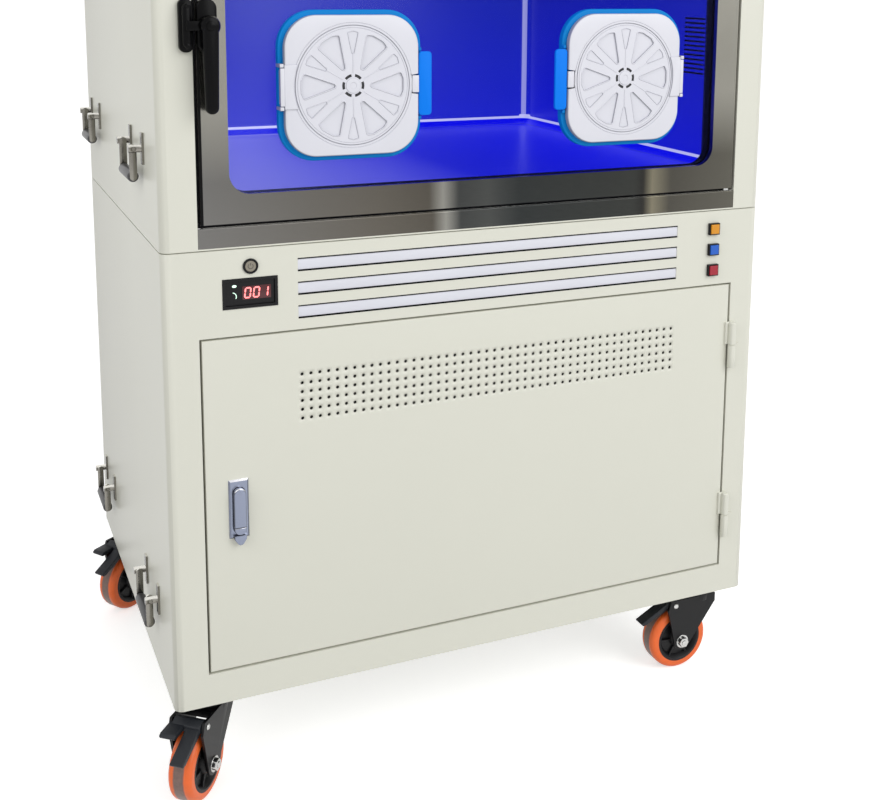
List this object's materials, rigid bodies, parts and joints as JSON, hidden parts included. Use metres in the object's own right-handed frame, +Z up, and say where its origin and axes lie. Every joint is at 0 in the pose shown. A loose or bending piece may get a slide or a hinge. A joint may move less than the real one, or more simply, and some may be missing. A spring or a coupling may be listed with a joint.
{
  "type": "pet intensive care unit",
  "caption": "Wheeled veterinary intensive care cage: lit chamber with a hatched glazed door above a perforated service cabinet on braked swivel casters.",
  "frame": {"origin": "on the floor under the middle of the whole box", "axes": "+Z up, +X to the right seen from the front, +Y from the front to the back"},
  "size_m": [1.0298, 0.7592, 1.48],
  "materials": {
    "cream_paint": "semi-gloss powder coat",
    "polished_steel": "polished stainless steel",
    "liner_steel": "stainless steel under blue light",
    "clear_pane": "clear toughened pane",
    "white_plastic": "smooth moulded plastic",
    "blue_plastic": "blue moulded plastic",
    "black_plastic": "black moulded plastic",
    "black_latch": "black die casting",
    "seal_rubber": "soft black seal",
    "louvre_plastic": "pale lilac-grey extrusion",
    "zinc": "satin zinc casting",
    "steel": "bright plated steel",
    "amber_plastic": "amber lens",
    "lens_blue": "blue lens",
    "red_plastic": "red lens",
    "screen": "dark display",
    "caster_steel": "black enamelled pressing",
    "caster_wheel": "orange tread on a black hub",
    "handle_steel": "grey plated frame with a dark grip",
    "lamp": "diffusing lamp cover",
    "pump_metal": "cast and finned metal"
  },
  "bodies": {
    "root": {"lower_shell": "cream_paint", "back_panels": "cream_paint", "bay_shelf": "steel", "louvre_bars": "louvre_plastic", "display_module": "screen", "button_bodies": "black_plastic", "lower_hinges": "cream_paint", "upper_shell": "cream_paint", "control_screen": "screen", "door_sill": "polished_steel", "chamber_liner": "liner_steel", "chamber_hinge_pins": "steel", "chamber_lamp": "lamp", "fan_housing": "black_plastic", "latch_keeper": "black_latch", "oxygen_unit": "pump_metal", "rear_ports": "black_plastic", "handle_mounts": "handle_steel", "caster_plates": "steel"},
    "lower_door": {"lower_door_panel": "cream_paint", "lock_plate": "zinc"},
    "lock_spindle": {"lock_spindle": "zinc"},
    "lock_lever": {"lock_lever": "zinc"},
    "chamber_door": {"chamber_door_frame": "polished_steel", "door_pane": "clear_pane", "door_gasket": "seal_rubber", "hatch_rings": "blue_plastic", "latch_plate": "black_latch"},
    "latch_lever": {"latch_lever": "black_latch"},
    "hatch_left": {"hatch_left": "white_plastic"},
    "hatch_right": {"hatch_right": "white_plastic"},
    "vent_disc_left": {"vent_disc_left": "white_plastic"},
    "vent_disc_right": {"vent_disc_right": "white_plastic"},
    "hatch_tab_left": {"hatch_tab_left": "blue_plastic"},
    "hatch_tab_right": {"hatch_tab_right": "blue_plastic"},
    "fan_rotor": {"fan_rotor": "black_plastic"},
    "power_button": {"power_button": "black_plastic"},
    "amber_button": {"amber_button": "amber_plastic"},
    "blue_button": {"blue_button": "lens_blue"},
    "red_button": {"red_button": "red_plastic"},
    "handle_lower_left_front": {"handle_lower_left_front": "handle_steel"},
    "handle_lower_left_rear": {"handle_lower_left_rear": "handle_steel"},
    "handle_lower_right_front": {"handle_lower_right_front": "handle_steel"},
    "handle_lower_right_rear": {"handle_lower_right_rear": "handle_steel"},
    "handle_upper_left_front": {"handle_upper_left_front": "handle_steel"},
    "handle_upper_left_rear": {"handle_upper_left_rear": "handle_steel"},
    "handle_upper_right_front": {"handle_upper_right_front": "handle_steel"},
    "handle_upper_right_rear": {"handle_upper_right_rear": "handle_steel"},
    "caster_front_left": {"caster_fork_front_left": "caster_steel"},
    "wheel_front_left": {"caster_wheel_front_left": "caster_wheel"},
    "pedal_front_left": {"caster_pedal_front_left": "caster_steel"},
    "caster_front_right": {"caster_fork_front_right": "caster_steel"},
    "wheel_front_right": {"caster_wheel_front_right": "caster_wheel"},
    "pedal_front_right": {"caster_pedal_front_right": "caster_steel"},
    "caster_rear_left": {"caster_fork_rear_left": "caster_steel"},
    "wheel_rear_left": {"caster_wheel_rear_left": "caster_wheel"},
    "pedal_rear_left": {"caster_pedal_rear_left": "caster_steel"},
    "caster_rear_right": {"caster_fork_rear_right": "caster_steel"},
    "wheel_rear_right": {"caster_wheel_rear_right": "caster_wheel"},
    "pedal_rear_right": {"caster_pedal_rear_right": "caster_steel"}
  },
  "joints": [
    {"name": "lower_door_swing", "type": "hinge", "parent": "root", "child": "lower_door", "pos_m": [0.418, -0.3368, 0.428], "axis": [0, 0, 1], "range_deg": [0, 110]},
    {"name": "lock_turn", "type": "hinge", "parent": "lower_door", "child": "lock_spindle", "pos_m": [-0.37, -0.33, 0.398], "axis": [0, 1, 0], "range_deg": [0, 90]},
    {"name": "lock_lift", "type": "hinge", "parent": "lock_spindle", "child": "lock_lever", "pos_m": [-0.37, -0.339, 0.398], "axis": [1, 0, 0], "range_deg": [0, 25], "stiffness_Nm_per_rad": 0.4, "springref_deg": -5.73},
    {"name": "chamber_door_swing", "type": "hinge", "parent": "root", "child": "chamber_door", "pos_m": [0.402, -0.3245, 1.085], "axis": [0, 0, 1], "range_deg": [0, 110]},
    {"name": "latch_turn", "type": "hinge", "parent": "chamber_door", "child": "latch_lever", "pos_m": [-0.397, -0.355, 1.071], "axis": [0, 1, 0], "range_deg": [0, 90]},
    {"name": "hatch_left_swing", "type": "hinge", "parent": "chamber_door", "child": "hatch_left", "pos_m": [-0.308, -0.337, 0.991], "axis": [0, 0, -1], "range_deg": [0, 120]},
    {"name": "vent_left_turn", "type": "hinge", "parent": "hatch_left", "child": "vent_disc_left", "pos_m": [-0.207, -0.34, 0.991], "axis": [0, -1, 0], "range_deg": [0, 30]},
    {"name": "tab_left_press", "type": "hinge", "parent": "chamber_door", "child": "hatch_tab_left", "pos_m": [-0.1054, -0.335, 0.991], "axis": [0, 0, 1], "range_deg": [0, 6], "stiffness_Nm_per_rad": 1, "springref_deg": -2.86},
    {"name": "hatch_right_swing", "type": "hinge", "parent": "chamber_door", "child": "hatch_right", "pos_m": [0.308, -0.337, 0.991], "axis": [0, 0, 1], "range_deg": [0, 120]},
    {"name": "vent_right_turn", "type": "hinge", "parent": "hatch_right", "child": "vent_disc_right", "pos_m": [0.207, -0.34, 0.991], "axis": [0, 1, 0], "range_deg": [0, 30]},
    {"name": "tab_right_press", "type": "hinge", "parent": "chamber_door", "child": "hatch_tab_right", "pos_m": [0.1054, -0.335, 0.991], "axis": [0, 0, -1], "range_deg": [0, 6], "stiffness_Nm_per_rad": 1, "springref_deg": -2.86},
    {"name": "fan_spin", "type": "hinge", "parent": "root", "child": "fan_rotor", "pos_m": [0, 0.33, 1.18], "axis": [0, 1, 0], "continuous": true},
    {"name": "power_press", "type": "slide", "parent": "root", "child": "power_button", "axis": [0, 1, 0], "range_m": [0, 0.0015], "stiffness_N_per_m": 600},
    {"name": "amber_press", "type": "slide", "parent": "root", "child": "amber_button", "axis": [0, 1, 0], "range_m": [0, 0.0025], "stiffness_N_per_m": 500},
    {"name": "blue_press", "type": "slide", "parent": "root", "child": "blue_button", "axis": [0, 1, 0], "range_m": [0, 0.0025], "stiffness_N_per_m": 500},
    {"name": "red_press", "type": "slide", "parent": "root", "child": "red_button", "axis": [0, 1, 0], "range_m": [0, 0.0025], "stiffness_N_per_m": 500},
    {"name": "handle_lower_left_front_swing", "type": "hinge", "parent": "root", "child": "handle_lower_left_front", "pos_m": [-0.4755, -0.175, 0.262], "axis": [0, 1, 0], "range_deg": [0, 90]},
    {"name": "handle_lower_left_rear_swing", "type": "hinge", "parent": "root", "child": "handle_lower_left_rear", "pos_m": [-0.4755, 0.25, 0.262], "axis": [0, 1, 0], "range_deg": [0, 90]},
    {"name": "handle_lower_right_front_swing", "type": "hinge", "parent": "root", "child": "handle_lower_right_front", "pos_m": [0.4755, -0.175, 0.262], "axis": [0, -1, 0], "range_deg": [0, 90]},
    {"name": "handle_lower_right_rear_swing", "type": "hinge", "parent": "root", "child": "handle_lower_right_rear", "pos_m": [0.4755, 0.25, 0.262], "axis": [0, -1, 0], "range_deg": [0, 90]},
    {"name": "handle_upper_left_front_swing", "type": "hinge", "parent": "root", "child": "handle_upper_left_front", "pos_m": [-0.4755, -0.175, 0.905], "axis": [0, 1, 0], "range_deg": [0, 90]},
    {"name": "handle_upper_left_rear_swing", "type": "hinge", "parent": "root", "child": "handle_upper_left_rear", "pos_m": [-0.4755, 0.25, 0.905], "axis": [0, 1, 0], "range_deg": [0, 90]},
    {"name": "handle_upper_right_front_swing", "type": "hinge", "parent": "root", "child": "handle_upper_right_front", "pos_m": [0.4755, -0.175, 0.905], "axis": [0, -1, 0], "range_deg": [0, 90]},
    {"name": "handle_upper_right_rear_swing", "type": "hinge", "parent": "root", "child": "handle_upper_right_rear", "pos_m": [0.4755, 0.25, 0.905], "axis": [0, -1, 0], "range_deg": [0, 90]},
    {"name": "swivel_front_left", "type": "hinge", "parent": "root", "child": "caster_front_left", "pos_m": [-0.4075, -0.275, 0.123], "axis": [0, 0, 1], "continuous": true},
    {"name": "roll_front_left", "type": "hinge", "parent": "caster_front_left", "child": "wheel_front_left", "pos_m": [-0.43193, -0.30411, 0.052], "axis": [0.766, -0.6428, 0], "continuous": true},
    {"name": "brake_front_left", "type": "hinge", "parent": "caster_front_left", "child": "pedal_front_left", "pos_m": [-0.44093, -0.31483, 0.1165], "axis": [0.766, -0.6428, 0], "range_deg": [0, 12]},
    {"name": "swivel_front_right", "type": "hinge", "parent": "root", "child": "caster_front_right", "pos_m": [0.4075, -0.275, 0.123], "axis": [0, 0, 1], "continuous": true},
    {"name": "roll_front_right", "type": "hinge", "parent": "caster_front_right", "child": "wheel_front_right", "pos_m": [0.3695, -0.275, 0.052], "axis": [0, -1, 0], "continuous": true},
    {"name": "brake_front_right", "type": "hinge", "parent": "caster_front_right", "child": "pedal_front_right", "pos_m": [0.3555, -0.275, 0.1165], "axis": [0, -1, 0], "range_deg": [0, 12]},
    {"name": "swivel_rear_left", "type": "hinge", "parent": "root", "child": "caster_rear_left", "pos_m": [-0.4075, 0.305, 0.123], "axis": [0, 0, 1], "continuous": true},
    {"name": "roll_rear_left", "type": "hinge", "parent": "caster_rear_left", "child": "wheel_rear_left", "pos_m": [-0.43863, 0.2832, 0.052], "axis": [0.5736, -0.8192, 0], "continuous": true},
    {"name": "brake_rear_left", "type": "hinge", "parent": "caster_rear_left", "child": "pedal_rear_left", "pos_m": [-0.4501, 0.27517, 0.1165], "axis": [0.5736, -0.8192, 0], "range_deg": [0, 12]},
    {"name": "swivel_rear_right", "type": "hinge", "parent": "root", "child": "caster_rear_right", "pos_m": [0.4075, 0.305, 0.123], "axis": [0, 0, 1], "continuous": true},
    {"name": "roll_rear_right", "type": "hinge", "parent": "caster_rear_right", "child": "wheel_rear_right", "pos_m": [0.43661, 0.28057, 0.052], "axis": [0.6428, 0.766, 0], "continuous": true},
    {"name": "brake_rear_right", "type": "hinge", "parent": "caster_rear_right", "child": "pedal_rear_right", "pos_m": [0.44733, 0.27158, 0.1165], "axis": [0.6428, 0.766, 0], "range_deg": [0, 12]}
  ]
}
